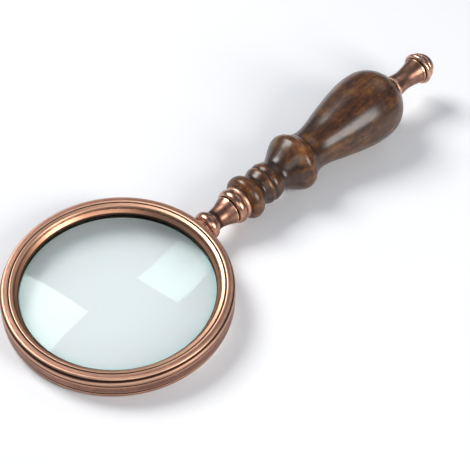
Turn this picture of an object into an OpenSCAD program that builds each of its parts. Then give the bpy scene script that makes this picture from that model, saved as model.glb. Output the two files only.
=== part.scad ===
// Hand magnifying glass: a grooved metal frame with a screwed-in retaining ring round a
// biconvex lens, a turned metal neck, a turned wooden handle on a tie rod, and an end finial.
// The lens centre is the origin, +Z is the optical axis and +Y runs down the handle.

/* [Lens] */
// Diameter of the lens
lens_d = 82.6; // [82:0.1:82.8]
// Thickness of the lens at its flat rim
lens_rim_t = 2.4; // [2:0.1:2.6]
// Width of the flat ground rim round each dome
lens_rim_w = 1.1; // [0.8:0.1:1.1]
// Height of each dome above the flat rim
lens_dome_h = 3.8; // [3:0.1:3.9]

/* [Frame] */
// Outer diameter of the frame
frame_d = 94; // [93.5:0.1:95]
// Height of the frame's front band above the lens centre
frame_front_z = 5.4; // [5.2:0.1:5.8]
// Depth of the frame's flat back face below the lens centre
frame_back_z = 5.25; // [5.2:0.05:5.6]
// Clear opening through the frame and the retaining ring
opening_d = 79; // [78:0.5:79.5]
// Diameter of the threaded bore that takes the retaining ring
thread_bore_d = 86.5; // [86:0.1:87]
// Depth of the two fine grooves round the side
side_groove_depth = 0.5; // [0.3:0.1:0.7]
// Thickness of the gasket behind the lens
gasket_t = 0.5; // [0.4:0.1:0.6]
// Thickness of the slip ring in front of the lens
slip_ring_t = 0.5; // [0.4:0.1:0.6]

/* [Neck] */
// Height of the boss that stands out of the frame's side
boss_h = 0.6; // [0.4:0.1:1]
// Diameter of the boss
boss_d = 8.8; // [8:0.1:9.6]
// Length of the rounded collar between the boss and the neck
collar_l = 4.3; // [3.5:0.1:5]
// Diameter of the collar at its crest
collar_d = 12.6; // [12:0.1:14]
// Length of the flared part of the neck
flare_l = 10.3; // [9:0.1:12]
// Diameter of the neck at its waist
waist_d = 8.8; // [8.4:0.1:9.4]
// Diameter of the neck at the end of its flare
flare_d = 13; // [12:0.1:13.6]
// Length of the bead behind the flare
neck_bead_l = 4.9; // [4:0.1:6]
// Diameter of the bead behind the flare
neck_bead_d = 15.6; // [15:0.1:16.4]
// Length of the ferrule ring at the front of the wood
ferrule_l = 2.2; // [1.8:0.1:3]
// Diameter of the ferrule ring
ferrule_d = 14.8; // [14.4:0.1:15.4]

/* [Wooden handle] */
// Length of the wood behind the ferrule ring
wood_l = 95.9; // [92:0.1:100]
// Diameter of the front bead
front_bead_d = 19.8; // [19:0.1:21]
// Diameter of the second bead at its crest
second_bead_d = 17.5; // [17:0.1:18.5]
// Diameter of the low shoulder in front of that crest
shoulder_d = 17.1; // [16.4:0.1:17.8]
// Diameter of the cove between the two beads
cove_d = 14.7; // [13.6:0.1:16]
// Diameter of the hollow behind the second bead
hollow_d = 15.2; // [14.4:0.1:16]
// Diameter of the large ring bead
ring_bead_d = 26.3; // [25:0.1:27]
// Diameter of the throat behind the ring bead
throat_d = 18.9; // [18:0.1:20]
// Largest diameter of the bulb
bulb_d = 32.5; // [31:0.1:34]
// Diameter of the flat end of the wood
wood_end_d = 11.6; // [11.4:0.1:12.6]

/* [Finial] */
// Thickness of the washer between the wood and the finial
washer_t = 1; // [0.8:0.1:1.4]
// Diameter of that washer
washer_d = 11.4; // [11:0.1:11.6]
// Length of the finial's flared stem
stem_l = 15.8; // [14.5:0.1:17]
// Diameter of the stem at its waist
stem_waist_d = 9; // [8.6:0.1:9.6]
// Diameter of the stem at its end
stem_end_d = 12.2; // [11.6:0.1:12.8]
// Diameter of the knob's rim bead
knob_d = 14.9; // [14:0.1:16]
// Length of the knob behind the stem
knob_l = 8.8; // [8:0.1:10]

/* [Screws] */
// Thread diameter of the stud that screws the neck to the frame
stud_d = 5; // [4.6:0.1:5]
// Thread diameter of the tie rod through the wood
rod_d = 4; // [3.6:0.1:4]
// Radial clearance of the screw threads
thread_gap = 0.05; // [0.03:0.01:0.08]

/* [Hidden] */
$fn = 96;

copper = "#a5674b";
dark_copper = "#7d4a36";
walnut = "#4a2e1c";
steel = "#b4b6b8";
gasket_black = "#1d1c1b";
glass_tint = [0.86, 0.93, 0.92, 0.45];

// Faces that sit against each other inside one body have this gap, and cutters run this far out
close_gap = 0.02;
cut = 1;

// Heights in the frame, from the back to the front
lens_r = lens_d / 2;
lens_rim_z = lens_rim_t / 2;
dome_r = lens_r - lens_rim_w;
dome_sphere_r = (dome_r ^ 2 + lens_dome_h ^ 2) / (2 * lens_dome_h);
seat_z = -lens_rim_z - gasket_t;
retainer_z = lens_rim_z + slip_ring_t;
frame_r = frame_d / 2;
opening_r = opening_d / 2;
pocket_r = lens_r + 0.2;
pocket_top_z = lens_rim_z - 0.2;
thread_bore_r = thread_bore_d / 2;
retainer_r = thread_bore_r - thread_gap;
band_r = frame_r - 0.8;
lip_z = 2.6;

// Places along the handle
boss_y = frame_r + boss_h;
neck_y = boss_y + collar_l;
neck_bead_y = neck_y + flare_l;
ferrule_y = neck_bead_y + neck_bead_l;
wood_y = ferrule_y + ferrule_l;
washer_y = wood_y + wood_l;
finial_y = washer_y + washer_t;
knob_y = finial_y + stem_l;
tip_y = knob_y + knob_l;

// Screw lengths: the stud fills the socket in the frame, and the rod reaches into the finial
stud_r = stud_d / 2;
rod_r = rod_d / 2;
socket_bottom_y = thread_bore_r + 0.65;
stud_in_neck = 7;
rod_in_neck = 6;
rod_in_finial = 8.2;
spigot_r = ferrule_d / 2 - 1.9;
rod_hole_r = rod_r + 0.2;

// Points of a curve through every station in turn, with no corner between them
function smooth(stations, steps = 4) =
    let (
        last = len(stations) - 1,
        before = 2 * stations[0] - stations[1],
        after = 2 * stations[last] - stations[last - 1],
        p = concat([before], stations, [after]))
    concat(
        [for (i = [1:last], k = [0:steps - 1])
            let (t = k / steps)
            0.5 * (2 * p[i] + (p[i + 1] - p[i - 1]) * t
                + (2 * p[i - 1] - 5 * p[i] + 4 * p[i + 1] - p[i + 2]) * t ^ 2
                + (3 * p[i] - p[i - 1] - 3 * p[i + 1] + p[i + 2]) * t ^ 3)],
        [stations[last]]);

// A turned bead: a quarter ellipse rises from a to the crest, and another falls to b
function bead(a, crest, b, steps = 6) = concat(
    [for (i = [0:steps])
        let (turn = 90 * i / steps)
        [crest[0] - (crest[0] - a[0]) * cos(turn), a[1] + (crest[1] - a[1]) * sin(turn)]],
    [for (i = [1:steps])
        let (turn = 90 * i / steps)
        [crest[0] + (b[0] - crest[0]) * sin(turn), b[1] + (crest[1] - b[1]) * cos(turn)]]);

// The station that lies along of the way in length, and out of the way in radius, from a to b
function part_way(a, b, along, out) =
    [a[0] + along * (b[0] - a[0]), a[1] + out * (b[1] - a[1])];

// The full, rounded end of the wood, which leaves a level and closes in steeply on b
function round_end(a, b, steps = 12) = [
    for (i = [1:steps])
        let (along = sin(90 * i / steps))
        part_way(a, b, along, 1 - (1 - along ^ 3) ^ 1.2)];

// A shallow crown from a to b whose middle stands h off the straight line, on its left
function crown(a, b, h, steps = 4) =
    let (way = b - a, off = [-way[1], way[0]] / norm(way))
    [for (i = [0:steps]) let (t = i / steps) a + t * way + 4 * h * t * (1 - t) * off];

// A ring about the optical axis, from an outline of [radius, height] points
module ring(outline) {
    rotate_extrude() polygon(outline);
}

// A solid turned about the handle's axis, from an outline of [distance along +Y, radius] points
module turned(outline) {
    last = outline[len(outline) - 1];
    shape = concat([[0, outline[0][0]]], [for (p = outline) [p[1], p[0]]], [[0, last[0]]]);
    rotate([-90, 0, 0]) rotate_extrude() polygon(shape);
}

// A cylinder along +Y from y1 to y2
module rod(r, y1, y2) {
    translate([0, y1, 0]) rotate([-90, 0, 0]) cylinder(r = r, h = y2 - y1);
}

// The side of the frame from the front band's edge to the back: a cove, a thin rib, and two
// low bands with a V groove before each
function frame_side() =
    let (
        rib_z = 2.8,
        upper_groove_z = 1.6,
        lower_groove_z = -2.9,
        groove_r = frame_r - side_groove_depth,
        groove_half = 0.35,
        edge_r = frame_r - 0.12)
    concat(
        smooth([
            [band_r, frame_front_z - 0.35], [band_r - 0.25, frame_front_z - 0.9],
            [band_r + 0.05, frame_front_z - 1.5], [frame_r - 0.15, rib_z + 0.75]]),
        smooth([[frame_r - 0.15, rib_z + 0.75], [frame_r, rib_z], [edge_r, upper_groove_z + groove_half]]),
        [[groove_r, upper_groove_z]],
        crown([edge_r, upper_groove_z - groove_half], [edge_r, lower_groove_z + groove_half], 0.12),
        [[groove_r, lower_groove_z]],
        crown([edge_r, lower_groove_z - groove_half], [frame_r - 0.3, -frame_back_z + 0.35], 0.1),
        [[frame_r - 0.7, -frame_back_z]]);

// The slope from a face of the frame in to the clear opening, mirrored for front and back
function inner_slope(face_r, face_z, side) = [
    for (p = smooth([
        [face_r, face_z], [face_r - 0.8, face_z - 0.28], [opening_r + 1.6, face_z - 1.2],
        [opening_r + 0.55, lip_z + 0.25], [opening_r, lip_z - 0.3]]))
        [p[0], side * p[1]]];

module frame_ring() {
    back_slope = inner_slope(frame_r - 4, frame_back_z, -1);
    front_band = smooth([
        [thread_bore_r + 0.3, frame_front_z - 0.1], [thread_bore_r + 1.3, frame_front_z + 0.05],
        [band_r - 0.6, frame_front_z], [band_r, frame_front_z - 0.35]]);
    color(copper)
    difference() {
        union() {
            ring(concat(
                [[thread_bore_r, pocket_top_z], [thread_bore_r, frame_front_z - 0.5]],
                front_band, frame_side(), back_slope,
                [[opening_r, seat_z], [pocket_r, seat_z], [pocket_r, pocket_top_z]]));
            rod(boss_d / 2, frame_r - 1.2, boss_y);
        }
        rod(stud_r + thread_gap, socket_bottom_y, boss_y + cut);
    }
}

module lens() {
    dome_steps = 16;
    dome = [for (i = [0:dome_steps])
        let (r = dome_r * (1 - i / dome_steps))
        [r, lens_rim_z + sqrt(dome_sphere_r ^ 2 - r ^ 2) - (dome_sphere_r - lens_dome_h)]];
    back_dome = [for (i = [dome_steps:-1:0]) [dome[i][0], -dome[i][1]]];
    color(glass_tint)
    ring(concat([[lens_r, -lens_rim_z], [lens_r, lens_rim_z]], dome, back_dome));
}

// A flat ring about the optical axis between two heights
module flat_ring(r_out, r_in, z1, z2) {
    translate([0, 0, z1])
    difference() {
        cylinder(r = r_out, h = z2 - z1);
        translate([0, 0, -cut]) cylinder(r = r_in, h = z2 - z1 + 2 * cut);
    }
}

module seat_gasket() {
    color(gasket_black)
    flat_ring(lens_r - 0.1, dome_r + 0.1, seat_z, -lens_rim_z);
}

module slip_ring() {
    color(gasket_black)
    flat_ring(retainer_r - 0.4, dome_r + 0.1, lens_rim_z, retainer_z);
}

module retaining_ring() {
    crest = [[retainer_r, frame_front_z - 0.6], [retainer_r - 0.2, frame_front_z - 0.1],
        [retainer_r - 0.45, frame_front_z]];
    color(copper)
    ring(concat(
        [[opening_r, retainer_z], [retainer_r, retainer_z]], crest,
        inner_slope(retainer_r - 0.8, frame_front_z - 0.15, 1)));
}

module collar() {
    end_r = collar_d / 2 - 1.3;
    color(copper)
    difference() {
        turned(bead([boss_y, end_r], [boss_y + collar_l / 2, collar_d / 2], [neck_y, end_r]));
        rod(stud_r + 0.2, boss_y - cut, neck_y + cut);
    }
}

module neck() {
    foot = [neck_y, waist_d / 2 + 0.5];
    waist = [neck_y + 0.24 * flare_l, waist_d / 2];
    flare_end = [neck_bead_y - 0.25, flare_d / 2];
    bead_start = [neck_bead_y + 0.5, flare_d / 2];
    bead_end = [ferrule_y, flare_d / 2 - 0.2];
    color(copper)
    difference() {
        turned(concat(
            smooth([foot, waist, part_way(waist, flare_end, 0.48, 0.3), flare_end]),
            [[neck_bead_y, flare_d / 2 - 0.2], [neck_bead_y + 0.2, flare_d / 2 - 0.7]],
            bead(bead_start, [neck_bead_y + 0.55 * neck_bead_l, neck_bead_d / 2], bead_end)));
        rod(stud_r + close_gap, neck_y - cut, neck_y + stud_in_neck + close_gap);
        rod(rod_r + close_gap, ferrule_y - rod_in_neck - close_gap, ferrule_y + cut);
    }
}

module neck_stud() {
    color(steel)
    rod(stud_r, socket_bottom_y + 0.2, neck_y + stud_in_neck);
}

module ferrule_ring() {
    end_r = ferrule_d / 2 - 0.7;
    color(dark_copper)
    difference() {
        turned(bead([ferrule_y, end_r], [ferrule_y + ferrule_l / 2, ferrule_d / 2], [wood_y, end_r]));
        rod(spigot_r + close_gap, ferrule_y - cut, wood_y + cut);
    }
}

module wooden_handle() {
    face = [wood_y, ferrule_d / 2 - 0.1];
    front_bead = [wood_y + 3.3, front_bead_d / 2];
    cove = [wood_y + 8.3, cove_d / 2];
    shoulder = [wood_y + 12, shoulder_d / 2];
    quirk = [wood_y + 13.5, shoulder_d / 2 - 0.35];
    second_bead = [wood_y + 15.6, second_bead_d / 2];
    hollow = [wood_y + 20.1, hollow_d / 2];
    ring_bead = [wood_y + 31.6, ring_bead_d / 2];
    lip = [ring_bead[0] + 2.2, ring_bead[1] - 0.45];
    lip_foot = [lip[0] + 0.15, lip[1] - 0.35];
    throat = [wood_y + 42.7, throat_d / 2];
    bulb = [wood_y + 77.3, bulb_d / 2];
    end = [washer_y, wood_end_d / 2];
    color(walnut)
    difference() {
        union() {
            turned(concat(
                smooth([
                    face, part_way(face, front_bead, 0.12, 0.5),
                    part_way(face, front_bead, 0.45, 0.88), front_bead,
                    part_way(front_bead, cove, 0.36, 0.2), part_way(front_bead, cove, 0.68, 0.68),
                    cove, part_way(cove, shoulder, 0.5, 0.45), shoulder, quirk]),
                smooth([
                    quirk, part_way(quirk, second_bead, 0.4, 0.75), second_bead,
                    part_way(second_bead, hollow, 0.5, 0.55), hollow,
                    part_way(hollow, ring_bead, 0.2, 0.11), part_way(hollow, ring_bead, 0.42, 0.38),
                    part_way(hollow, ring_bead, 0.64, 0.68), part_way(hollow, ring_bead, 0.83, 0.9),
                    ring_bead, lip]),
                smooth([
                    lip_foot, part_way(lip_foot, throat, 0.24, 0.42),
                    part_way(lip_foot, throat, 0.49, 0.8), throat,
                    part_way(throat, bulb, 0.17, 0.12), part_way(throat, bulb, 0.39, 0.42),
                    part_way(throat, bulb, 0.66, 0.75), part_way(throat, bulb, 0.86, 0.94), bulb]),
                round_end(bulb, end)));
            rod(spigot_r, ferrule_y + close_gap, wood_y + cut);
        }
        rod(rod_hole_r, ferrule_y - cut, washer_y + cut);
    }
}

module tie_rod() {
    color(steel)
    rod(rod_r, ferrule_y - rod_in_neck, finial_y + rod_in_finial);
}

module finial_washer() {
    edge = 0.25;
    color(copper)
    difference() {
        turned([
            [washer_y, washer_d / 2 - edge], [washer_y + edge, washer_d / 2],
            [finial_y - edge, washer_d / 2], [finial_y, washer_d / 2 - edge]]);
        rod(rod_hole_r, washer_y - cut, finial_y + cut);
    }
}

module finial() {
    foot = [finial_y, stem_waist_d / 2 + 0.8];
    waist = [finial_y + 0.43 * stem_l, stem_waist_d / 2];
    stem_end = [knob_y, stem_end_d / 2];
    rim = [knob_y + 1.6, knob_d / 2];
    crown_r = knob_d / 2 - 0.9;
    crown_ring_y = knob_y + 3.3;
    dome_y = knob_y + 5;
    color(copper)
    difference() {
        turned(concat(
            smooth([
                foot, part_way(foot, waist, 0.4, 0.5), waist,
                part_way(waist, stem_end, 0.44, 0.3), part_way(waist, stem_end, 0.84, 0.75), stem_end]),
            [[knob_y + 0.15, stem_end_d / 2 - 0.7]],
            bead([knob_y + 0.45, crown_r - 0.3], rim, [crown_ring_y - 0.1, crown_r - 0.4]),
            bead([crown_ring_y, crown_r - 0.4], [crown_ring_y + 0.8, crown_r], [dome_y, crown_r - 0.6]),
            [for (turn = [15:15:75]) [dome_y + (tip_y - dome_y) * sin(turn), (crown_r - 0.9) * cos(turn)]],
            [[tip_y, 0.3]]));
        rod(rod_r + thread_gap, finial_y - cut, finial_y + rod_in_finial + 0.2);
    }
}

frame_ring();
lens();
seat_gasket();
slip_ring();
retaining_ring();
collar();
neck();
neck_stud();
ferrule_ring();
wooden_handle();
tie_rod();
finial_washer();
finial();
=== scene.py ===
"""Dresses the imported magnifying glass: turned and threaded surfaces, their finishes and a studio.

Lengths in the outlines are millimetres, and meshes are in metres. The lens's centre is the
origin, +Z is the optical axis and +Y runs down the handle.
"""

import bpy
import numpy as np
from bpy.props import FloatProperty, FloatVectorProperty, IntProperty, PointerProperty
from mathutils import Matrix, Vector


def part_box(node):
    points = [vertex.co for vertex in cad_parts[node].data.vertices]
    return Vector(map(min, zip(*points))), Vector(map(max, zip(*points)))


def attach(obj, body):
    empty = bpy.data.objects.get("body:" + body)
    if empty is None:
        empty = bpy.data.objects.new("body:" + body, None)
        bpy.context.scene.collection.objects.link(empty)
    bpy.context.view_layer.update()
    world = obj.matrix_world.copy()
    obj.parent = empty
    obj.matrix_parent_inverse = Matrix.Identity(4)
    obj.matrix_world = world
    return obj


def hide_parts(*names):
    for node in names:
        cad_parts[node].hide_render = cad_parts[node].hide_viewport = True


bl_info = {
    "name": "Magnifying Glass Finish",
    "version": (1, 0, 0),
    "blender": (4, 5, 0),
    "location": "View3D > Sidebar > Magnifier",
    "description": "Builds the turned surfaces, finishes and studio of a hand magnifying glass",
    "category": "Object",
}

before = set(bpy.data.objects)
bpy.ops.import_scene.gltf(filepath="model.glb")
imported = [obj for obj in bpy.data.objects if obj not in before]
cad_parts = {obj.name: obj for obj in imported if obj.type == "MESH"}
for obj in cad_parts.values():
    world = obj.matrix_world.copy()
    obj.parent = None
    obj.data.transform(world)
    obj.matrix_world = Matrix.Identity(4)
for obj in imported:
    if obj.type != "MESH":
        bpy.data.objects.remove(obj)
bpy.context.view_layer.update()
MM = 0.001


def top(node, axis):
    """The highest place of a CAD node on an axis, in millimetres."""
    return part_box(node)[1][axis] / MM


def bottom(node, axis):
    """The lowest place of a CAD node on an axis, in millimetres."""
    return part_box(node)[0][axis] / MM


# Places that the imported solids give
FRAME_R = top("frame_ring", 0)
FRAME_TOP_Z = top("frame_ring", 2)
FRAME_BACK_Z = bottom("frame_ring", 2)
LENS_R = top("lens", 0)
SEAT_Z = bottom("seat_gasket", 2)
RETAINER_Z = bottom("retaining_ring", 2)
RETAINER_R = top("retaining_ring", 0)
FRONT_Z = top("retaining_ring", 2)
BOSS_Y = top("frame_ring", 1)
NECK_Y = bottom("neck", 1)
FERRULE_Y = top("neck", 1)
WOOD_Y = top("ferrule_ring", 1)
WASHER_Y = top("wooden_handle", 1)
FINIAL_Y = bottom("finial", 1)
TIP_Y = top("finial", 1)

# Sizes that a box doesn't show
OPENING_R = 39.5
BORE_R = 43.25
BAND_R = FRAME_R - 0.8
LIP_Z = 2.6
RIM_Z = 1.2
DOME_R = 40.2
DOME_H = 3.8
POCKET_R = 41.5
POCKET_TOP_Z = 1.0
FLARE_LENGTH = 10.3
FLARE_END_Y = NECK_Y + FLARE_LENGTH
NECK_BEAD_LENGTH = 4.9
STEM_LENGTH = 15.8
KNOB_Y = FINIAL_Y + STEM_LENGTH
STUD_R = 2.5
ROD_R = 2.0
SPIGOT_R = 5.5


# ---------------------------------------------------------------- outlines


def smooth(stations, steps=14):
    """A Catmull-Rom curve: on each span, 0.5 (2b + (c - a) t + (2a - 5b + 4c - d) t^2
    + (3b - a - 3c + d) t^3), with the end stations mirrored outwards."""
    p = np.asarray(stations, float)
    p = np.vstack([2 * p[0] - p[1], p, 2 * p[-1] - p[-2]])
    a, b, c, d = (p[i : len(p) - 3 + i, None] for i in range(4))
    t = (np.arange(steps) / steps)[None, :, None]
    curve = 0.5 * (
        2 * b + (c - a) * t + (2 * a - 5 * b + 4 * c - d) * t**2 + (3 * b - a - 3 * c + d) * t**3
    )
    return np.vstack([curve.reshape(-1, 2), p[-2]])


def bead(a, crest, b, steps=14):
    """Two quarter ellipses: the radius rises from a by the sine of a turn while the length
    runs to the crest by one less its cosine, and it falls to b in the mirrored way."""
    a, crest, b = (np.asarray(v, float) for v in (a, crest, b))
    turn = np.linspace(0, np.pi / 2, steps + 1)[:, None]
    up = np.hstack([crest[0] - (crest[0] - a[0]) * np.cos(turn), a[1] + (crest[1] - a[1]) * np.sin(turn)])
    down = np.hstack([crest[0] + (b[0] - crest[0]) * np.sin(turn), b[1] + (crest[1] - b[1]) * np.cos(turn)])
    return np.vstack([up, down[1:]])


def part_way(a, b, along, out):
    """The point that lies along of the way in length, and out of the way in radius, from a to b."""
    return (a[0] + along * (b[0] - a[0]), a[1] + out * (b[1] - a[1]))


def round_end(a, b, steps=40):
    """The wood's full end: the radius falls from a to b by (1 - t^3)^1.2 of the way, where t is
    the share of the length, taken at the sine of even turns."""
    t = np.sin(np.linspace(0, np.pi / 2, steps + 1)[1:])
    return np.column_stack(part_way(a, b, t, 1 - (1 - t**3) ** 1.2))


def crown(a, b, h, steps=8):
    """A parabola from a to b whose middle stands h off the straight line, on its left."""
    a, b = np.asarray(a, float), np.asarray(b, float)
    way = b - a
    off = np.array([-way[1], way[0]]) / np.hypot(*way)
    t = np.linspace(0, 1, steps + 1)[:, None]
    return a + t * way + 4 * h * t * (1 - t) * off


def soften(points, radius=0.12, closed=True, steps=4):
    """Rounds each corner that turns more than 15 degrees by a quadratic curve, 0.25 (1 - t)^2
    before + 2 t (1 - t) corner + t^2 after, which starts and ends radius from the corner."""
    p = np.asarray(points, float)
    keep = np.r_[True, np.hypot(*np.diff(p, axis=0).T) > 1e-4]
    p = p[keep]
    if closed and np.hypot(*(p[0] - p[-1])) < 1e-4:
        p = p[:-1]
    before, after = np.roll(p, 1, 0) - p, np.roll(p, -1, 0) - p
    len_a, len_b = np.hypot(*before.T), np.hypot(*after.T)
    cosine = (before * after).sum(1) / np.maximum(len_a * len_b, 1e-9)
    sharp = cosine > np.cos(np.radians(165))
    if not closed:
        sharp[[0, -1]] = False
    reach = np.minimum(radius, 0.45 * np.minimum(len_a, len_b))[:, None]
    start = p + before / len_a[:, None] * reach
    end = p + after / len_b[:, None] * reach
    t = np.linspace(0, 1, steps + 1)[None, :, None]
    arcs = (1 - t) ** 2 * start[:, None] + 2 * t * (1 - t) * p[:, None] + t**2 * end[:, None]
    return np.vstack([arcs[i] if sharp[i] else p[i : i + 1] for i in range(len(p))])


def densify(points, longest, closed=True):
    """Adds even points on each straight step of an outline that is over the longest length."""
    p = np.vstack([points, points[:1]]) if closed else np.asarray(points)
    length = np.hypot(*np.diff(p, axis=0).T)
    parts = np.maximum(1, np.ceil(length / longest)).astype(int)
    start = np.repeat(np.arange(len(parts)), parts)
    share = (np.arange(parts.sum()) - np.repeat(np.cumsum(parts) - parts, parts)) / parts[start]
    out = p[start] + share[:, None] * (p[start + 1] - p[start])
    return out if closed else np.vstack([out, p[-1:]])


def hollowness(points, closed=True, reach=0.7):
    """How far each point of an outline lies in a hollow (above 0) or on an edge (below 0): the
    mean of the outline's places a reach before and after, less the point, along the outward
    normal, as a share of the reach."""
    p = np.vstack([points, points[:1]]) if closed else points
    s = np.r_[0, np.cumsum(np.hypot(*np.diff(p, axis=0).T))]
    here = s[: len(points)]
    whole = s[-1]

    def at(where):
        where = where % whole if closed else np.clip(where, 0, whole)
        return np.column_stack([np.interp(where, s, p[:, k]) for k in (0, 1)])

    ahead, behind = at(here + reach), at(here - reach)
    way = ahead - behind
    normal = np.column_stack([way[:, 1], -way[:, 0]]) / np.maximum(np.hypot(*way.T), 1e-9)[:, None]
    area = (p[:-1, 0] * p[1:, 1] - p[1:, 0] * p[:-1, 1]).sum()
    return np.sign(area) * (((ahead + behind) / 2 - points) * normal).sum(1) / reach


def thread(pitch, depth, start, end, lead_in=0.4):
    """A right-handed V thread, as a function of the turn and the place along the axis: depth
    times a clipped triangle wave of (place / pitch - turn / one turn), faded in at both ends."""

    def cut(turn, place):
        wave = np.abs(2 * ((place / pitch - turn / (2 * np.pi)) % 1) - 1)
        fade = np.clip((place - start) / lead_in, 0, 1) * np.clip((end - place) / lead_in, 0, 1)
        return depth * fade * np.clip((wave - 0.12) / 0.76, 0, 1)

    return cut


def revolve(name, outline, axis, around=256, closed=True, cut=None, threaded=None):
    """A surface of revolution about the axis: the point at (turn, i) is the outline's radius at i
    times (cos turn, sin turn), and its place along the axis. The outline holds (place, radius)
    pairs. A closed one makes a ring, and an open one starts and ends on the axis. Where threaded
    says so, cut(turn, place) is taken off the radius."""
    place, radius = np.asarray(outline, float).T
    turn = np.linspace(0, 2 * np.pi, around, endpoint=False)
    radii = np.repeat(radius[:, None], around, 1)
    if cut is not None:
        where = threaded(place, radius)[:, None]
        radii = radii - where * cut(turn[None], place[:, None])
    u, v = radii * np.cos(turn), radii * np.sin(turn)
    w = np.repeat(place[:, None], around, 1)
    grid = np.stack((v, w, u) if axis == "Y" else (u, v, w), -1)
    n = len(place)
    body = slice(0, n) if closed else slice(1, n - 1)
    hollow = hollowness(np.column_stack([place, radius]), closed)
    points = grid[body].reshape(-1, 3)
    values = np.repeat(hollow[body], around)
    rows = n if closed else n - 2
    index = np.arange(rows * around).reshape(rows, around)
    lower = index if closed else index[:-1]
    upper = np.roll(index, -1, 0) if closed else index[1:]
    quads = np.stack([lower, upper, np.roll(upper, -1, 1), np.roll(lower, -1, 1)], -1).reshape(-1, 4)
    fans = []
    if not closed:
        points = np.vstack([points, grid[0, :1], grid[-1, :1]])
        values = np.r_[values, hollow[0], hollow[-1]]
        first, last = index[0], index[-1]
        start, end = len(points) - 2, len(points) - 1
        fans = [
            np.column_stack([np.full(around, start), first, np.roll(first, -1)]),
            np.column_stack([np.full(around, end), np.roll(last, -1), last]),
        ]
    # the sum of radius^2 times the step in place is positive where the faces point outwards
    loop = np.r_[place, place[0]] if closed else place
    size = np.r_[radius, radius[0]] if closed else radius
    flipped = ((size[:-1] ** 2 + size[1:] ** 2) * np.diff(loop)).sum() > 0
    faces = [*quads.tolist(), *(f for fan in fans for f in fan.tolist())]
    if flipped:
        faces = [f[::-1] for f in faces]
    return make_piece(name, points * MM, faces, values)


def make_piece(name, points, faces, hollow):
    """A smooth-shaded mesh object with the hollow attribute, linked to the scene."""
    mesh = bpy.data.meshes.new(name)
    mesh.from_pydata(points.tolist(), [], faces)
    mesh.attributes.new("hollow", "FLOAT", "POINT").data.foreach_set("value", hollow.astype(np.float32))
    mesh.polygons.foreach_set("use_smooth", np.ones(len(mesh.polygons), bool))
    mesh.update()
    piece = bpy.data.objects.new(name, mesh)
    bpy.context.scene.collection.objects.link(piece)
    return piece


def combine(piece, other, operation):
    """Joins other to piece, or cuts it away, and removes other."""
    modifier = piece.modifiers.new(operation, "BOOLEAN")
    modifier.operation, modifier.solver, modifier.object = operation, "MANIFOLD", other
    ready = piece.evaluated_get(bpy.context.evaluated_depsgraph_get())
    mesh = bpy.data.meshes.new_from_object(ready)
    piece.modifiers.clear()
    old, piece.data = piece.data, mesh
    bpy.data.meshes.remove(old)
    bpy.data.objects.remove(other)
    if not mesh.polygons:
        raise RuntimeError(f"{piece.name}: {operation} left nothing")


def mount(piece, node, body, material):
    """Puts a finished piece in its node's place."""
    piece.data.materials.clear()
    piece.data.materials.append(material)
    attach(piece, body)
    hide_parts(node)


# ---------------------------------------------------------------- shader expressions


class Wire:
    """One output socket. Arithmetic on it adds Math nodes to its sheet."""

    def __init__(self, sheet, socket):
        self.sheet, self.socket = sheet, socket

    def math(self, operation, *values):
        return self.sheet.node("ShaderNodeMath", {"operation": operation}, dict(enumerate(values)))

    def __add__(self, other):
        return self.math("ADD", self, other)

    def __sub__(self, other):
        return self.math("SUBTRACT", self, other)

    def __rsub__(self, other):
        return self.math("SUBTRACT", other, self)

    def __mul__(self, other):
        return self.math("MULTIPLY", self, other)

    def __truediv__(self, other):
        return self.math("DIVIDE", self, other)

    def __pow__(self, other):
        return self.math("POWER", self, other)

    __radd__, __rmul__ = __add__, __mul__

    def clip(self, low, high):
        """0 below low, 1 above high, and smooth between them."""
        settings = {"interpolation_type": "SMOOTHSTEP"}
        return self.sheet.node("ShaderNodeMapRange", settings, {"Value": self, 1: low, 2: high})


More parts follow.
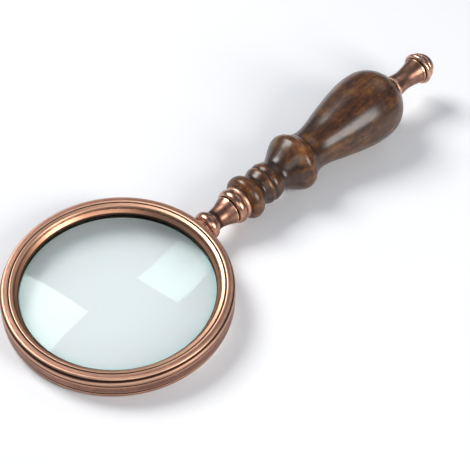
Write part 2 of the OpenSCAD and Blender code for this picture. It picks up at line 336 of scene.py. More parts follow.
class Sheet:
    """A new material's node tree."""

    def __init__(self, name):
        self.material = bpy.data.materials.new(name)
        self.material.use_nodes = True
        self.tree = self.material.node_tree
        self.tree.nodes.clear()

    def node(self, kind, settings=None, inputs=None, out=0):
        """Adds a node, sets it up, then gives its sockets their values or links."""
        made = self.tree.nodes.new(kind)
        for key, value in (settings or {}).items():
            setattr(made, key, value)
        for key, value in (inputs or {}).items():
            if isinstance(value, Wire):
                self.tree.links.new(value.socket, made.inputs[key])
            else:
                made.inputs[key].default_value = value
        return Wire(self, made.outputs[out])

    def place(self):
        """The piece's own coordinates, in metres, as a vector."""
        return self.node("ShaderNodeTexCoord", out="Object")

    def hollow(self):
        return self.node("ShaderNodeAttribute", {"attribute_name": "hollow"}, out="Fac")

    def noise(self, vector, scale, detail=3.0, roughness=0.55):
        values = {"Vector": vector, "Scale": scale, "Detail": detail, "Roughness": roughness}
        return self.node("ShaderNodeTexNoise", inputs=values)

    def stretch(self, vector, factors):
        return self.node("ShaderNodeVectorMath", {"operation": "MULTIPLY"}, {0: vector, 1: factors})

    def blend(self, share, a, b, kind="MIX"):
        """Colour a where share is 0 and b where it is 1."""
        settings = {"data_type": "RGBA", "blend_type": kind}
        return self.node("ShaderNodeMix", settings, {0: share, 6: a, 7: b}, out=2)

    def polar(self, axis):
        """(direction round the axis as a unit vector's two parts, radius in mm, place in mm)."""
        split = self.node("ShaderNodeSeparateXYZ", inputs={0: self.place()}).socket.node.outputs
        x, y, z = (Wire(self, s) for s in split)
        u, v, w = (z, x, y) if axis == "Y" else (x, y, z)
        radius = (u * u + v * v) ** 0.5
        return u / radius, v / radius, radius * (1 / MM), w * (1 / MM)

    def vector(self, x, y, z):
        return self.node("ShaderNodeCombineXYZ", inputs={0: x, 1: y, 2: z})

    def bump(self, height, strength, distance):
        values = {"Height": height, "Strength": strength, "Distance": distance}
        return self.node("ShaderNodeBump", inputs=values)

    def surface(self, fixed, **varying):
        """The Principled shader, with its fixed numbers and what changes over the surface."""
        return self.node("ShaderNodeBsdfPrincipled", inputs={**fixed, **varying})

    def finish(self, shader):
        end = self.tree.nodes.new("ShaderNodeOutputMaterial")
        self.tree.links.new(shader.socket, end.inputs["Surface"])
        return self.material


def rgba(colour):
    return (*colour, 1.0)


# ---------------------------------------------------------------- finishes


def copper(name, look, axis, patina_and_painted_shade=0.0, radial=False, painted_shade_lines=(), polish=0.0):
    """Antique copper plate: a dark patina lies in the hollows and in soft mottles, and in the
    coves it is deepened as painted shade; painted shade also lies along the listed rings
    (radius, half width) on joint gaps and shaded walls; edges are rubbed bright, and fine brush
    marks run across or round the turned surface. The darkening argument shifts the whole plate
    darker or lighter: partly the part's own patina, partly painted shade or painted highlight
    for how the lamps and room reflect in that part. Polish smooths the surface."""
    sheet = Sheet(name)
    u, v, radius, place = sheet.polar(axis)
    hollow = sheet.hollow()
    if radial:
        lines = sheet.vector(u * 190.0, v * 190.0, radius * 0.35 + place * 0.5)
    else:
        lines = sheet.vector(u * 3.0, v * 3.0, place * 9.0)
    brush = sheet.noise(lines, 1.0, 3.0, 0.6)
    grain = sheet.noise(sheet.place(), 2600.0, 2.0, 0.6)
    mottle = sheet.noise(sheet.place(), 85.0, 4.0, 0.6)
    stain = sheet.noise(sheet.place(), 420.0, 3.0, 0.65)
    # patina in the hollows, deepened as painted shade, plus the part's darkening (patina and painted shade)
    patina_and_shade_mask = (hollow + (stain - 0.5) * 0.10 + patina_and_painted_shade * 0.25).clip(0.0, 0.12)
    # painted shade: dark rings at the listed radii, on joint gaps and shaded walls
    for line_r, half in painted_shade_lines:
        off_line = sheet.node("ShaderNodeMath", {"operation": "ABSOLUTE"}, {0: radius - line_r})
        patina_and_shade_mask = patina_and_shade_mask.math("MAXIMUM", patina_and_shade_mask, 1 - off_line.clip(half * 0.6, half * 1.2))
    worn = (hollow * -1.0 + (stain - 0.5) * 0.12).clip(0.05, 0.30)
    # the darkening argument moves the plate towards dull: patina, and painted shade or painted highlight
    dull = ((mottle * 0.6 + brush * 0.4) - 0.5 + patina_and_painted_shade).clip(-0.16, 0.30)
    tone = sheet.blend(dull, rgba(look.bright), rgba(look.dull))
    tone = sheet.blend((grain - 0.35) * 0.5, tone, rgba(look.dull))
    tone = sheet.blend(worn * 0.65, tone, rgba(look.worn))
    tone = sheet.blend(patina_and_shade_mask * 0.92, tone, rgba(look.patina))
    rough = brush * 0.16 + stain * 0.12 + patina_and_shade_mask * 0.22 + (look.roughness - polish - 0.14)
    height = brush * 0.7 + grain * 0.3
    shader = sheet.surface(
        {"Metallic": 1.0},
        **{
            "Base Color": tone,
            "Roughness": rough,
            "Normal": sheet.bump(height, look.brushing, 0.00003),
        },
    )
    return sheet.finish(shader)


def steel(name):
    """Plain machined steel with fine turning marks and darker, oily thread roots."""
    sheet = Sheet(name)
    u, v, _, place = sheet.polar("Y")
    marks = sheet.noise(sheet.vector(u * 2.0, v * 2.0, place * 14.0), 1.0, 3.0)
    oil = (sheet.hollow() + (sheet.noise(sheet.place(), 700.0) - 0.5) * 0.2).clip(0.0, 0.3)
    tone = sheet.blend(marks, (0.50, 0.50, 0.51, 1), (0.66, 0.66, 0.65, 1))
    tone = sheet.blend(oil * 0.8, tone, (0.10, 0.09, 0.08, 1))
    shader = sheet.surface(
        {"Metallic": 1.0},
        **{
            "Base Color": tone,
            "Roughness": marks * 0.2 + 0.22,
            "Normal": sheet.bump(marks, 0.2, 0.00002),
        },
    )
    return sheet.finish(shader)


def black_ring(name, gloss):
    """Black ring stock with a fine fibre grain."""
    sheet = Sheet(name)
    fibre = sheet.noise(sheet.stretch(sheet.place(), (1.0, 1.0, 4.0)), 1800.0, 3.0)
    cloud = sheet.noise(sheet.place(), 240.0, 2.0)
    shader = sheet.surface(
        {},
        **{
            "Base Color": sheet.blend(cloud, (0.010, 0.010, 0.010, 1), (0.030, 0.029, 0.027, 1)),
            "Roughness": fibre * 0.25 + gloss,
            "Normal": sheet.bump(fibre, 0.3, 0.00003),
        },
    )
    return sheet.finish(shader)


def lacquered_wood(look):
    """Stained walnut under satin lacquer: fibres and pores run along the blank, amber and rust
    show where the stain is thin, the hollows hold more stain, and the lacquer lies over all."""
    sheet = Sheet("lacquered_walnut")
    place = sheet.place()
    hollow = sheet.hollow()
    along = sheet.stretch(place, (1.0, 0.16, 1.0))
    cloud = sheet.noise(sheet.stretch(place, (1.0, 0.75, 1.0)), look.cloud_scale, 3.0, 0.6)
    patch = sheet.noise(sheet.stretch(place, (1.0, 0.8, 1.0)), look.cloud_scale * 4.0, 4.0, 0.65)
    fibre = sheet.noise(along, 900.0, 4.0, 0.6)
    figure = sheet.noise(along, 260.0, 3.0, 0.6)
    pore = sheet.noise(sheet.stretch(place, (1.0, 0.09, 1.0)), 2300.0, 2.0, 0.5).clip(0.62, 0.74)
    thin = (cloud * 0.50 + patch * 0.40 + figure * 0.20 - hollow * 0.9).clip(0.46, 0.86)
    warm = (patch * 0.6 + figure * 0.4).clip(0.44, 0.60)
    tone = sheet.blend(figure.clip(0.3, 0.7), rgba(look.dark), rgba(look.brown))
    light = sheet.blend(warm, rgba(look.rust), rgba(look.amber))
    tone = sheet.blend(thin * 0.62, tone, light)
    tone = sheet.blend((0.62 - fibre).clip(0.0, 0.3) * 0.35, tone, rgba(look.dark))
    tone = sheet.blend(pore * 0.8, tone, (0.006, 0.003, 0.002, 1))
    tone = sheet.blend(hollow.clip(-0.02, 0.14) * 0.8, tone, rgba(look.dark))
    ripple = sheet.noise(place, 130.0, 2.0, 0.5)
    height = ripple * 0.7 + fibre * 0.2 - pore * 0.3
    shader = sheet.surface(
        {"Coat Roughness": look.lacquer_roughness, "Coat IOR": 1.5, "Specular IOR Level": 0.12},
        **{
            "Base Color": tone,
            "Roughness": fibre * 0.2 + 0.34,
            "Coat Weight": 0.72 - pore * 0.3,
            "Normal": sheet.bump(height, 0.25, 0.0002),
        },
    )
    return sheet.finish(shader)


def optical_glass(look):
    """Polished crown glass with faint smears on its faces; towards the rim it turns green and darker, partly
    the green of its ground edge and partly a painted shade of the frame's shadow seen through it.
    """
    sheet = Sheet("optical_glass")
    _, _, radius, _ = sheet.polar("Z")
    smear = sheet.noise(sheet.stretch(sheet.place(), (1.0, 2.2, 1.0)), 38.0, 3.0).clip(0.55, 0.80)
    # painted shade: the green tint, widened in from the rim, darkens the glass where the frame's shadow shows
    # through
    rim = radius.clip(OPENING_R - 4.0, LENS_R)
    tint = sheet.blend(rim, rgba(look.tint), rgba(look.rim_green_and_shade))
    glass = sheet.surface(
        {"IOR": look.ior, "Transmission Weight": 1.0, "Specular Tint": rgba(look.coating)},
        **{"Base Color": tint, "Roughness": smear * 0.06 + 0.05},
    )
    clear = sheet.node("ShaderNodeBsdfTransparent", inputs={"Color": rgba(look.shade)})
    shadow = sheet.node("ShaderNodeLightPath", out="Is Shadow Ray")
    return sheet.finish(sheet.node("ShaderNodeMixShader", inputs={0: shadow, 1: glass, 2: clear}))


def floor_paint(look):
    """Matt white board with the faintest tooth."""
    sheet = Sheet("studio_floor")
    tooth = sheet.noise(sheet.place(), 900.0, 3.0)
    tone = sheet.blend(tooth, rgba(look.floor), rgba([c * 0.985 for c in look.floor]))
    shader = sheet.surface(
        {"Specular IOR Level": 0.2},
        **{"Base Color": tone, "Roughness": tooth * 0.1 + 0.65},
    )
    return sheet.finish(shader)


# ---------------------------------------------------------------- settings


def colour_setting(name, description, default):
    return FloatVectorProperty(
        name=name, description=description, default=default, size=3, subtype="COLOR", min=0.0, max=1.0
    )


def length_setting(name, description, default):
    return FloatProperty(name=name, description=description, default=default * MM, unit="LENGTH")


class CopperLook(bpy.types.PropertyGroup):
    """The antique copper plate."""

    bright: colour_setting("Bright", "Plate where it is clean", (0.70, 0.36, 0.22))
    dull: colour_setting("Dull", "Plate under a thin patina", (0.31, 0.16, 0.118))
    worn: colour_setting("Worn", "Plate rubbed on its edges", (0.82, 0.50, 0.34))
    # this colour is also the painted shade in the coves and along the dark rings at joints and the lens
    # opening
    patina: colour_setting("Patina", "Dark patina in the hollows", (0.030, 0.014, 0.010))
    roughness: FloatProperty(name="Roughness", description="Mean roughness", default=0.40)
    brushing: FloatProperty(name="Brushing", description="Strength of the brush marks", default=0.35)


class WoodLook(bpy.types.PropertyGroup):
    """The stained and lacquered wood."""

    dark: colour_setting("Dark", "Stain at its deepest", (0.020, 0.009, 0.005))
    brown: colour_setting("Brown", "Ordinary stained wood", (0.080, 0.031, 0.011))
    rust: colour_setting("Rust", "Red-brown where the stain is thin", (0.29, 0.088, 0.022))
    amber: colour_setting("Amber", "Golden brown where it is thinnest", (0.40, 0.165, 0.034))
    lacquer_roughness: FloatProperty(
        name="Lacquer Roughness", description="Roughness of the lacquer", default=0.25
    )
    cloud_scale: FloatProperty(
        name="Cloud Scale", description="Clouds of thin stain in a metre", default=62.0
    )


class GlassLook(bpy.types.PropertyGroup):
    """The lens."""

    tint: colour_setting("Tint", "Colour through the middle", (0.84, 0.915, 0.93))
    coating: colour_setting("Coating", "Light that the coating reflects", (0.20, 0.28, 0.26))
    # the rim colour is partly the glass's green edge and partly painted shade of the frame's shadow seen
    # through the rim
    rim_green_and_shade: colour_setting("Rim Tint", "Colour gathered at the rim", (0.50, 0.82, 0.79))
    shade: colour_setting("Shade", "Colour of the light that it passes", (0.50, 0.48, 0.46))
    ior: FloatProperty(name="IOR", description="Refractive index of crown glass", default=1.52)


class ThreadSizes(bpy.types.PropertyGroup):
    """The three screw threads."""

    ring_pitch: length_setting("Ring Pitch", "Pitch of the retaining ring's thread", 0.75)
    stud_pitch: length_setting("Stud Pitch", "Pitch of the neck stud", 0.8)
    rod_pitch: length_setting("Rod Pitch", "Pitch of the tie rod", 0.7)
    depth_share: FloatProperty(
        name="Depth", description="Depth of a thread as a share of its pitch", default=0.5
    )
    around: IntProperty(name="Around", description="Faces round the large rings", default=288)


class StudioLook(bpy.types.PropertyGroup):
    """Floor, lamps and camera."""

    floor: colour_setting("Floor", "Colour of the floor", (0.80, 0.803, 0.812))
    ambient: colour_setting("Ambient", "Colour of the room's light", (0.56, 0.74, 1.0))
    ambient_strength: FloatProperty(name="Ambient Strength", description="Room light", default=0.20)
    key_power: FloatProperty(
        name="Key Power", description="Lamp at the upper left", default=9.4, unit="POWER"
    )
    side_power: FloatProperty(name="Side Power", description="Lamp at the right", default=5.2, unit="POWER")
    front_power: FloatProperty(
        name="Front Power", description="Fill near the camera", default=1.5, unit="POWER"
    )
    top_power: FloatProperty(name="Top Power", description="Lamp behind", default=0.6, unit="POWER")
    focal_mm: FloatProperty(name="Focal Length", description="Camera lens in mm", default=114.9)


def settings(name):
    return getattr(bpy.context.scene, name)


# ---------------------------------------------------------------- the frame


def frame_side():
    """The frame's side from the front band to the back, as (radius, height): a cove, a rib, and
    two low bands with a V groove before each."""
    rib_z, upper_z, lower_z = 2.8, 1.6, -2.9
    groove_r, edge_r, half = FRAME_R - 0.5, FRAME_R - 0.12, 0.35
    return np.vstack(
        [
            smooth(
                [
                    (BAND_R, FRAME_TOP_Z - 0.35),
                    (BAND_R - 0.25, FRAME_TOP_Z - 0.9),
                    (BAND_R + 0.05, FRAME_TOP_Z - 1.5),
                    (FRAME_R - 0.15, rib_z + 0.75),
                ],
                8,
            ),
            smooth([(FRAME_R - 0.15, rib_z + 0.75), (FRAME_R, rib_z), (edge_r, upper_z + half)], 6),
            [(groove_r, upper_z)],
            crown((edge_r, upper_z - half), (edge_r, lower_z + half), 0.12),
            [(groove_r, lower_z)],
            crown((edge_r, lower_z - half), (FRAME_R - 0.3, FRAME_BACK_Z + 0.35), 0.1),
            [(FRAME_R - 0.7, FRAME_BACK_Z)],
        ]
    )


def inner_slope(face_r, face_z, side):
    """The slope from a face of the frame in to the clear opening, mirrored front and back."""
    stations = [
        (face_r, face_z),
        (face_r - 0.8, face_z - 0.28),
        (OPENING_R + 1.6, face_z - 1.2),
        (OPENING_R + 0.55, LIP_Z + 0.25),
        (OPENING_R, LIP_Z - 0.3),
    ]
    return smooth(stations, 8) * (1, side)


def frame_outline():
    """The frame ring's section as (height, radius)."""
    front = smooth(
        [
            (BORE_R + 0.3, FRAME_TOP_Z - 0.1),
            (BORE_R + 1.3, FRAME_TOP_Z + 0.05),
            (BAND_R - 0.6, FRAME_TOP_Z),
            (BAND_R, FRAME_TOP_Z - 0.35),
        ],
        6,
    )
    front[:, 1] = np.minimum(front[:, 1], FRAME_TOP_Z)
    bore = np.column_stack([np.full(34, BORE_R), np.linspace(POCKET_TOP_Z, FRAME_TOP_Z - 0.5, 34)])
    pocket = [(OPENING_R, SEAT_Z), (POCKET_R, SEAT_Z), (POCKET_R, POCKET_TOP_Z)]
    back = inner_slope(FRAME_R - 4, -FRAME_BACK_Z, -1)
    section = np.vstack([bore, front, frame_side(), back, pocket])
    return densify(soften(section, 0.1), 0.45)[:, ::-1]


class MAGNIFIER_OT_frame_ring(bpy.types.Operator):
    """Turns the grooved frame, with its threaded bore, its boss and the boss's tapped socket"""

    bl_idname = "magnifier.frame_ring"
    bl_label = "Frame Ring"

    def execute(self, context):
        sizes = settings("magnifier_threads")
        pitch, share = sizes.ring_pitch / MM, sizes.depth_share
        in_bore = thread(pitch, -pitch * share, POCKET_TOP_Z + 0.3, FRAME_TOP_Z - 0.8)
        ring = revolve(
            "frame_ring_turned",
            frame_outline(),
            "Z",
            sizes.around,
            cut=in_bore,
            threaded=lambda z, r: np.abs(r - BORE_R) < 0.01,
        )
        boss = [(FRAME_R - 2, 0), (FRAME_R - 2, 4.4), (BOSS_Y, 4.4), (BOSS_Y, 0)]
        boss = densify(soften(boss, 0.25, closed=False, steps=8), 0.4, closed=False)
        combine(ring, revolve("boss", boss, "Y", 96, closed=False), "UNION")
        mouth = [(43.9, 0), (43.9, 2.55), (BOSS_Y - 0.3, 2.55), (BOSS_Y + 0.3, 3.15), (BOSS_Y + 0.3, 0)]
        mouth = densify(mouth, 0.1, closed=False)
        step = sizes.stud_pitch / MM
        tapped = thread(step, -step * share * 0.8, 44.2, BOSS_Y - 0.35)
        cutter = revolve(
            "socket", mouth, "Y", 64, closed=False, cut=tapped, threaded=lambda y, r: np.abs(r - 2.55) < 0.01
        )
        combine(ring, cutter, "DIFFERENCE")
        look = settings("magnifier_copper")
        # painted shade: dark rings on the joint gap with the retaining ring and on the shaded wall round the
        # opening; 0.22 darkens this plate, partly patina and partly painted shade for its darker front band
        lines = ((BORE_R, 0.34), (OPENING_R, 0.8))
        plate = copper("frame_copper", look, "Z", 0.22, radial=True, painted_shade_lines=lines)
        mount(ring, "frame_ring", "frame", plate)
        return {"FINISHED"}


class MAGNIFIER_OT_retaining_ring(bpy.types.Operator):
    """Turns the retaining ring, with the thread round its outside"""

    bl_idname = "magnifier.retaining_ring"
    bl_label = "Retaining Ring"

    def execute(self, context):
        sizes = settings("magnifier_threads")
        pitch = sizes.ring_pitch / MM
        outside = np.column_stack(
            [np.full(34, RETAINER_R), np.linspace(RETAINER_Z, FRONT_Z - 0.6, 34)]
        )
        crest = [(RETAINER_R - 0.2, FRONT_Z - 0.1), (RETAINER_R - 0.45, FRONT_Z)]
        slope = inner_slope(RETAINER_R - 0.8, FRONT_Z - 0.15, 1)
        section = np.vstack([[(OPENING_R, RETAINER_Z)], outside, crest, slope])
        section = densify(soften(section, 0.1), 0.4)[:, ::-1]
        ring = revolve(
            "retaining_ring_threaded",
            section,
            "Z",
            sizes.around,
            cut=thread(pitch, pitch * sizes.depth_share, RETAINER_Z + 0.2, FRONT_Z - 0.7),
            threaded=lambda z, r: np.abs(r - RETAINER_R) < 0.01,
        )
        look = settings("magnifier_copper")
        # painted shade: dark rings on the joint gap and on the shaded inner wall by the lens; -0.12 lightens
        # this plate as a painted highlight where its slope faces the lamps
        lines = ((BORE_R, 0.30), (OPENING_R, 0.42))
        plate = copper("ring_copper", look, "Z", -0.12, radial=True, painted_shade_lines=lines)
        mount(ring, "retaining_ring", "retainer", plate)
        return {"FINISHED"}


class MAGNIFIER_OT_lens(bpy.types.Operator):
    """Grinds the lens: two spherical domes, each inside a flat ground rim"""

    bl_idname = "magnifier.lens"
    bl_label = "Lens"

    def execute(self, context):
        sphere_r = (DOME_R**2 + DOME_H**2) / (2 * DOME_H)
        r = DOME_R * np.sin(np.linspace(0, np.pi / 2, 61))
        dome = np.column_stack([RIM_Z + DOME_H - sphere_r + np.sqrt(sphere_r**2 - r**2), r])
        rim = [(RIM_Z, LENS_R), (-RIM_Z, LENS_R)]
        outline = np.vstack([dome, rim, (dome * (-1, 1))[::-1]])
        outline = densify(soften(outline, 0.08, closed=False), 0.8, closed=False)
        lens = revolve("lens_ground", outline, "Z", 192, closed=False)
        mount(lens, "lens", "frame", optical_glass(settings("magnifier_glass")))
        return {"FINISHED"}


class MAGNIFIER_OT_packing_rings(bpy.types.Operator):
    """Finishes the gasket behind the lens and the slip ring before it"""

    bl_idname = "magnifier.packing_rings"
    bl_label = "Gasket and Slip Ring"

    def execute(self, context):
        for node, gloss in (("seat_gasket", 0.55), ("slip_ring", 0.35)):
            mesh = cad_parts[node].data
            mesh.materials.clear()
            mesh.materials.append(black_ring(node + "_black", gloss))
        return {"FINISHED"}


# ---------------------------------------------------------------- the handle


def ring_round(start, crest, end, bore_r):
    """A bead with a bore, as a closed section."""
    outside = bead(start, crest, end)
    return densify(soften(np.vstack([[(start[0], bore_r)], outside, [(end[0], bore_r)]]), 0.08), 0.3)


class MAGNIFIER_OT_neck(bpy.types.Operator):
    """Turns the collar, the flared neck and the ferrule ring"""

    bl_idname = "magnifier.neck"
    bl_label = "Neck"

    def execute(self, context):
        look = settings("magnifier_copper")
        # 0.16 darkens the neck's plate: partly patina, partly painted shade for the dark room reflected in it
        plate = copper("neck_copper", look, "Y", 0.16, polish=0.12)
        collar = ring_round((BOSS_Y, 5.0), ((BOSS_Y + NECK_Y) / 2, 6.3), (NECK_Y, 5.0), 2.7)
        mount(revolve("collar_turned", collar, "Y", 128), "collar", "collar", plate)
        foot, waist = (NECK_Y, 4.9), (NECK_Y + 0.24 * FLARE_LENGTH, 4.4)
        flare = (FLARE_END_Y - 0.25, 6.5)
        bead_top = (FLARE_END_Y + 0.55 * NECK_BEAD_LENGTH, 7.8)
        rod_y, stud_y = FERRULE_Y - 6.02, NECK_Y + 7.02
        outline = np.vstack(
            [
                [(stud_y, 0), (stud_y, STUD_R + 0.02), (NECK_Y, STUD_R + 0.02)],
                smooth([foot, waist, part_way(waist, flare, 0.48, 0.3), flare]),
                [(FLARE_END_Y, 6.3), (FLARE_END_Y + 0.2, 5.8)],
                bead((FLARE_END_Y + 0.5, 6.5), bead_top, (FERRULE_Y, 6.3)),
                [(FERRULE_Y, ROD_R + 0.02), (rod_y, ROD_R + 0.02), (rod_y, 0)],
            ]
        )
        outline = densify(soften(outline, 0.1, closed=False), 0.3, closed=False)
        neck = revolve("neck_turned", outline, "Y", 192, closed=False)
        mount(neck, "neck", "handle", plate)
        crest = ((FERRULE_Y + WOOD_Y) / 2, 7.4)
        ferrule = ring_round((FERRULE_Y, 6.7), crest, (WOOD_Y, 6.7), SPIGOT_R + 0.02)
        dark = copper("ferrule_copper", look, "Y", 0.30)
        ring = revolve("ferrule_ring_turned", ferrule, "Y", 128)
        mount(ring, "ferrule_ring", "handle", dark)
        return {"FINISHED"}


class MAGNIFIER_OT_screws(bpy.types.Operator):
    """Threads the neck stud along its length and the tie rod at both ends"""

    bl_idname = "magnifier.screws"
    bl_label = "Stud and Tie Rod"

    def execute(self, context):
        sizes = settings("magnifier_threads")
        share = sizes.depth_share
        metal = steel("machined_steel")
        stud_pitch, rod_pitch = sizes.stud_pitch / MM, sizes.rod_pitch / MM
        y1, y2 = bottom("neck_stud", 1), top("neck_stud", 1)
        outline = [(y1, 0), (y1, STUD_R - 0.4), (y1 + 0.4, STUD_R), (y2, STUD_R), (y2, 0)]
        stud = revolve(
            "neck_stud_threaded",
            densify(outline, stud_pitch / 9, closed=False),
            "Y",
            72,
            closed=False,
            cut=thread(stud_pitch, stud_pitch * share, y1, y2 - 1),
            threaded=lambda y, r: r > STUD_R - 0.42,
        )
        mount(stud, "neck_stud", "handle", metal)
        y1, y2 = bottom("tie_rod", 1), top("tie_rod", 1)
        front = thread(rod_pitch, rod_pitch * share, y1, y1 + 7)
        rear = thread(rod_pitch, rod_pitch * share, WASHER_Y - 4, y2)
        threaded_end = [(WASHER_Y - 4.5, ROD_R), (y2 - 0.4, ROD_R), (y2, ROD_R - 0.4), (y2, 0)]
        fine = rod_pitch / 9
        outline = np.vstack(
            [
                densify([(y1, 0), (y1, ROD_R), (y1 + 7.5, ROD_R)], fine, closed=False)[:-1],
                densify([(y1 + 7.5, ROD_R), threaded_end[0]], 2.0, closed=False)[:-1],
                densify(threaded_end, fine, closed=False),
            ]
        )
        rod = revolve(
            "tie_rod_threaded",
            outline,
            "Y",
            64,
            closed=False,
            cut=lambda turn, y: front(turn, y) + rear(turn, y),
            threaded=lambda y, r: r > ROD_R - 0.42,
        )
        mount(rod, "tie_rod", "handle", metal)
        return {"FINISHED"}


def wood_outline():
    """The wooden handle's section as (place, radius): spigot, two beads, the ring bead with its
    lip, the throat, the bulb and the flat end, round the rod's bore."""
    face, front_bead, cove = (WOOD_Y, 7.3), (WOOD_Y + 3.3, 9.9), (WOOD_Y + 8.3, 7.35)
    shoulder, quirk, second_bead = (WOOD_Y + 12, 8.55), (WOOD_Y + 13.5, 8.2), (WOOD_Y + 15.6, 8.75)
    hollow, ring_bead = (WOOD_Y + 20.1, 7.6), (WOOD_Y + 31.6, 13.15)
    lip = (ring_bead[0] + 2.2, ring_bead[1] - 0.45)
    lip_foot = (lip[0] + 0.15, lip[1] - 0.35)
    throat, bulb, end = (WOOD_Y + 42.7, 9.45), (WOOD_Y + 77.3, 16.25), (WASHER_Y, 5.8)
    rise = [(0.2, 0.11), (0.42, 0.38), (0.64, 0.68), (0.83, 0.9)]
    fall = [(0.24, 0.42), (0.49, 0.8)]
    swell = [(0.17, 0.12), (0.39, 0.42), (0.66, 0.75), (0.86, 0.94)]
    section = np.vstack(
        [
            [(FERRULE_Y + 0.02, 2.2), (FERRULE_Y + 0.02, SPIGOT_R), (WOOD_Y, SPIGOT_R)],
            smooth(
                [
                    face,
                    part_way(face, front_bead, 0.12, 0.5),
                    part_way(face, front_bead, 0.45, 0.88),
                    front_bead,
                    part_way(front_bead, cove, 0.36, 0.2),
                    part_way(front_bead, cove, 0.68, 0.68),
                    cove,
                    part_way(cove, shoulder, 0.5, 0.45),
                    shoulder,
                    quirk,
                ],
                8,
            ),
            smooth(
                [
                    quirk,
                    part_way(quirk, second_bead, 0.4, 0.75),
                    second_bead,
                    part_way(second_bead, hollow, 0.5, 0.55),
                    hollow,
                    *(part_way(hollow, ring_bead, *k) for k in rise),
                    ring_bead,
                    lip,
                ],
                8,
            ),
            smooth(
                [
                    lip_foot,
                    *(part_way(lip_foot, throat, *k) for k in fall),
                    throat,
                    *(part_way(throat, bulb, *k) for k in swell),
                    bulb,
                ]
            ),
            round_end(bulb, end),
            [(WASHER_Y, 2.2)],
        ]
    )
    return densify(soften(section, 0.22), 0.6)


class MAGNIFIER_OT_wooden_handle(bpy.types.Operator):
    """Turns the wooden handle"""

    bl_idname = "magnifier.wooden_handle"
    bl_label = "Wooden Handle"

    def execute(self, context):
        wood = revolve("wooden_handle_turned", wood_outline(), "Y", 168)
        finish = lacquered_wood(settings("magnifier_wood"))
        mount(wood, "wooden_handle", "handle", finish)
        return {"FINISHED"}


class MAGNIFIER_OT_finial(bpy.types.Operator):
    """Turns the washer and the end finial with its tapped bore"""

    bl_idname = "magnifier.finial"
    bl_label = "Finial"

    def execute(self, context):
        sizes = settings("magnifier_threads")
        look = settings("magnifier_copper")
        # 0.14 darkens the finial's plate: partly patina, partly painted shade for the dark room reflected in
        # it
        plate = copper("finial_copper", look, "Y", 0.14, polish=0.12)
        disc = [(WASHER_Y, 2.2), (WASHER_Y, 5.7), (FINIAL_Y, 5.7), (FINIAL_Y, 2.2)]
        washer = revolve("finial_washer_turned", densify(soften(disc, 0.25), 0.3), "Y", 128)
        bright = copper("washer_copper", look, "Y", -0.14)
        mount(washer, "finial_washer", "washer", bright)
        foot, waist, stem_end = (FINIAL_Y, 5.3), (FINIAL_Y + 0.43 * STEM_LENGTH, 4.5), (KNOB_Y, 6.1)
        rim, crown_r, ring_y, dome_y = (KNOB_Y + 1.6, 7.45), 6.55, KNOB_Y + 3.3, KNOB_Y + 5
        turn = np.linspace(0, np.pi / 2, 24)[1:-1]
        dome = np.column_stack([dome_y + (TIP_Y - dome_y) * np.sin(turn), (crown_r - 0.9) * np.cos(turn)])
        bore_y, bore_r = FINIAL_Y + 8.4, ROD_R + 0.05
        outside = np.vstack(
            [
                smooth(
                    [
                        foot,
                        part_way(foot, waist, 0.4, 0.5),
                        waist,
                        part_way(waist, stem_end, 0.44, 0.3),
                        part_way(waist, stem_end, 0.84, 0.75),
                        stem_end,
                    ]
                ),
                [(KNOB_Y + 0.15, 5.4)],
                bead((KNOB_Y + 0.45, crown_r - 0.3), rim, (ring_y - 0.1, crown_r - 0.4)),
                bead((ring_y, crown_r - 0.4), (ring_y + 0.8, crown_r), (dome_y, crown_r - 0.6)),
                dome,
                [(TIP_Y, 0)],
            ]
        )
        outline = np.vstack([[(bore_y, 0), (bore_y, bore_r), (FINIAL_Y, bore_r)], outside])
        outline = densify(soften(outline, 0.1, closed=False), 0.25, closed=False)
        pitch = sizes.rod_pitch / MM
        finial = revolve(
            "finial_turned",
            outline,
            "Y",
            160,
            closed=False,
            cut=thread(pitch, -pitch * sizes.depth_share * 0.8, FINIAL_Y + 0.3, bore_y),
            threaded=lambda y, r: np.abs(r - bore_r) < 0.01,
        )
        mount(finial, "finial", "finial", plate)
        return {"FINISHED"}


# ---------------------------------------------------------------- the studio


def aim(position, target):
    """A matrix at position whose -Z looks at target."""
    way = Vector(target) - Vector(position)
    turned = way.to_track_quat("-Z", "Y").to_matrix().to_4x4()
    return Matrix.Translation(position) @ turned


def softbox(name, position, target, size, power, colour):
    """A rectangular lamp, size wide and high in metres."""
    lamp = bpy.data.lights.new(name, "AREA")
    lamp.shape, (lamp.size, lamp.size_y) = "RECTANGLE", size
    lamp.energy, lamp.color = power, colour
    placed = bpy.data.objects.new(name, lamp)
    placed.matrix_world = aim(position, target)
    bpy.context.scene.collection.objects.link(placed)


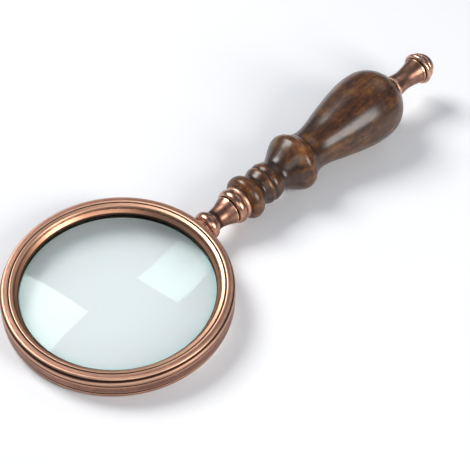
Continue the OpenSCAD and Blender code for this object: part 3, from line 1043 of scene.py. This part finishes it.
class MAGNIFIER_OT_studio(bpy.types.Operator):
    """Lays the floor under the frame's far edge and the bulb, and sets the lamps and camera"""

    bl_idname = "magnifier.studio"
    bl_label = "Studio"

    def execute(self, context):
        look = settings("magnifier_studio")
        # the floor touches the frame's back edge and the bulb, and falls by this slope along +Y
        near_y, near_z, slope = -46.3 * MM, FRAME_BACK_Z * MM, -0.0572
        reach = 3.0
        corners = [(x, y, near_z + slope * (y - near_y) - 0.00002) for x, y in
                   ((-reach, -reach), (reach, -reach), (reach, reach), (-reach, reach))]
        mesh = bpy.data.meshes.new("floor")
        mesh.from_pydata(corners, [], [(0, 1, 2, 3)])
        mesh.materials.append(floor_paint(look))
        floor = bpy.data.objects.new("floor", mesh)
        context.scene.collection.objects.link(floor)

        middle = (0.0, 0.07, 0.0)
        softbox("key_light", (-0.64, -0.03, 0.75), middle, (0.46, 0.46), look.key_power, (1.0, 0.985, 0.965))
        softbox("side_light", (0.74, 0.22, 0.42), middle, (0.32, 0.44), look.side_power, (1.0, 0.97, 0.94))
        softbox("front_light", (0.50, -0.38, 0.66), middle, (0.42, 0.42), look.front_power, (1.0, 0.97, 0.94))
        softbox("top_light", (-0.05, 0.75, 0.60), middle, (0.60, 0.35), look.top_power, (0.96, 0.98, 1.0))

        world = bpy.data.worlds.new("room")
        world.use_nodes = True
        background = world.node_tree.nodes["Background"]
        background.inputs["Color"].default_value = rgba(look.ambient)
        background.inputs["Strength"].default_value = look.ambient_strength
        context.scene.world = world
        context.scene.view_settings.view_transform = "Standard"

        data = bpy.data.cameras.new("camera")
        data.sensor_width, data.lens = 36.0, look.focal_mm
        data.clip_start, data.clip_end = 0.01, 20.0
        camera = bpy.data.objects.new("camera", data)
        # right, up and back of the camera, in the row frame
        axes = np.array([[0.7056, 0.7086, 0.0060], [-0.5451, 0.5373, 0.6435], [0.4527, -0.4574, 0.7654]])
        u, _, vt = np.linalg.svd(axes)
        turned = Matrix((u @ vt).T.tolist()).to_4x4()
        camera.matrix_world = Matrix.Translation((0.29221, -0.22903, 0.47433)) @ turned
        context.scene.collection.objects.link(camera)
        context.scene.camera = camera
        return {"FINISHED"}


OPERATORS = (
    MAGNIFIER_OT_frame_ring,
    MAGNIFIER_OT_retaining_ring,
    MAGNIFIER_OT_lens,
    MAGNIFIER_OT_packing_rings,
    MAGNIFIER_OT_neck,
    MAGNIFIER_OT_screws,
    MAGNIFIER_OT_wooden_handle,
    MAGNIFIER_OT_finial,
    MAGNIFIER_OT_studio,
)
GROUPS = {
    "magnifier_copper": CopperLook,
    "magnifier_wood": WoodLook,
    "magnifier_glass": GlassLook,
    "magnifier_threads": ThreadSizes,
    "magnifier_studio": StudioLook,
}


class MAGNIFIER_PT_panel(bpy.types.Panel):
    """Settings and pieces of the magnifying glass"""

    bl_label = "Magnifying Glass"
    bl_idname = "MAGNIFIER_PT_panel"
    bl_space_type = "VIEW_3D"
    bl_region_type = "UI"
    bl_category = "Magnifier"

    def draw(self, context):
        for name, group in GROUPS.items():
            box = self.layout.box()
            for key in group.__annotations__:
                box.prop(getattr(context.scene, name), key)
        for operator in OPERATORS:
            self.layout.operator(operator.bl_idname)


def register():
    for group in GROUPS.values():
        bpy.utils.register_class(group)
    for name, group in GROUPS.items():
        setattr(bpy.types.Scene, name, PointerProperty(type=group))
    for operator in OPERATORS:
        bpy.utils.register_class(operator)
    bpy.utils.register_class(MAGNIFIER_PT_panel)


def unregister():
    bpy.utils.unregister_class(MAGNIFIER_PT_panel)
    for operator in reversed(OPERATORS):
        bpy.utils.unregister_class(operator)
    for name in GROUPS:
        delattr(bpy.types.Scene, name)
    for group in reversed(GROUPS.values()):
        bpy.utils.unregister_class(group)


def main():
    """Builds every piece and the studio."""
    register()
    for operator in OPERATORS:
        category, name = operator.bl_idname.split(".")
        getattr(getattr(bpy.ops, category), name)()


if __name__ == "__main__":
    main()
